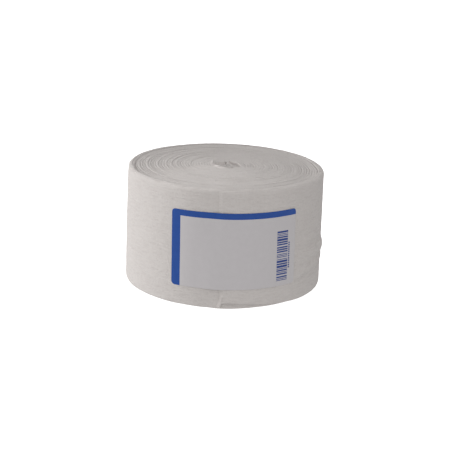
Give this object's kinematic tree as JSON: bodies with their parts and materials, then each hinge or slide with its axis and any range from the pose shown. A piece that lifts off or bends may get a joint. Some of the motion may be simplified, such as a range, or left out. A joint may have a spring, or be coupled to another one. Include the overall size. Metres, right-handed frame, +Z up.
{
  "type": "gauze bandage roll",
  "caption": "Wide gauze bandage wound into a thick roll that stands on its end, with a proud rim, a loose end and a blank label holding it down.",
  "frame": {"origin": "middle of the bounding box, on the flat base that the roll stands on", "axes": "+Z up along the winding's axis, -Y towards the front where the label and the free edge are, +X to the right"},
  "size_m": [0.1708, 0.1721, 0.101],
  "materials": {
    "gauze": "matt off-white crepe-knit cotton, wound in many turns",
    "gauze_loose_end": "matt off-white crepe-knit cotton, the outer turn with its free edge",
    "label_paper": "pale grey coated paper with a plain blue border on two sides"
  },
  "bodies": {
    "root": {"bandage_roll": "gauze", "loose_end": "gauze_loose_end", "label": "label_paper"}
  },
  "joints": []
}
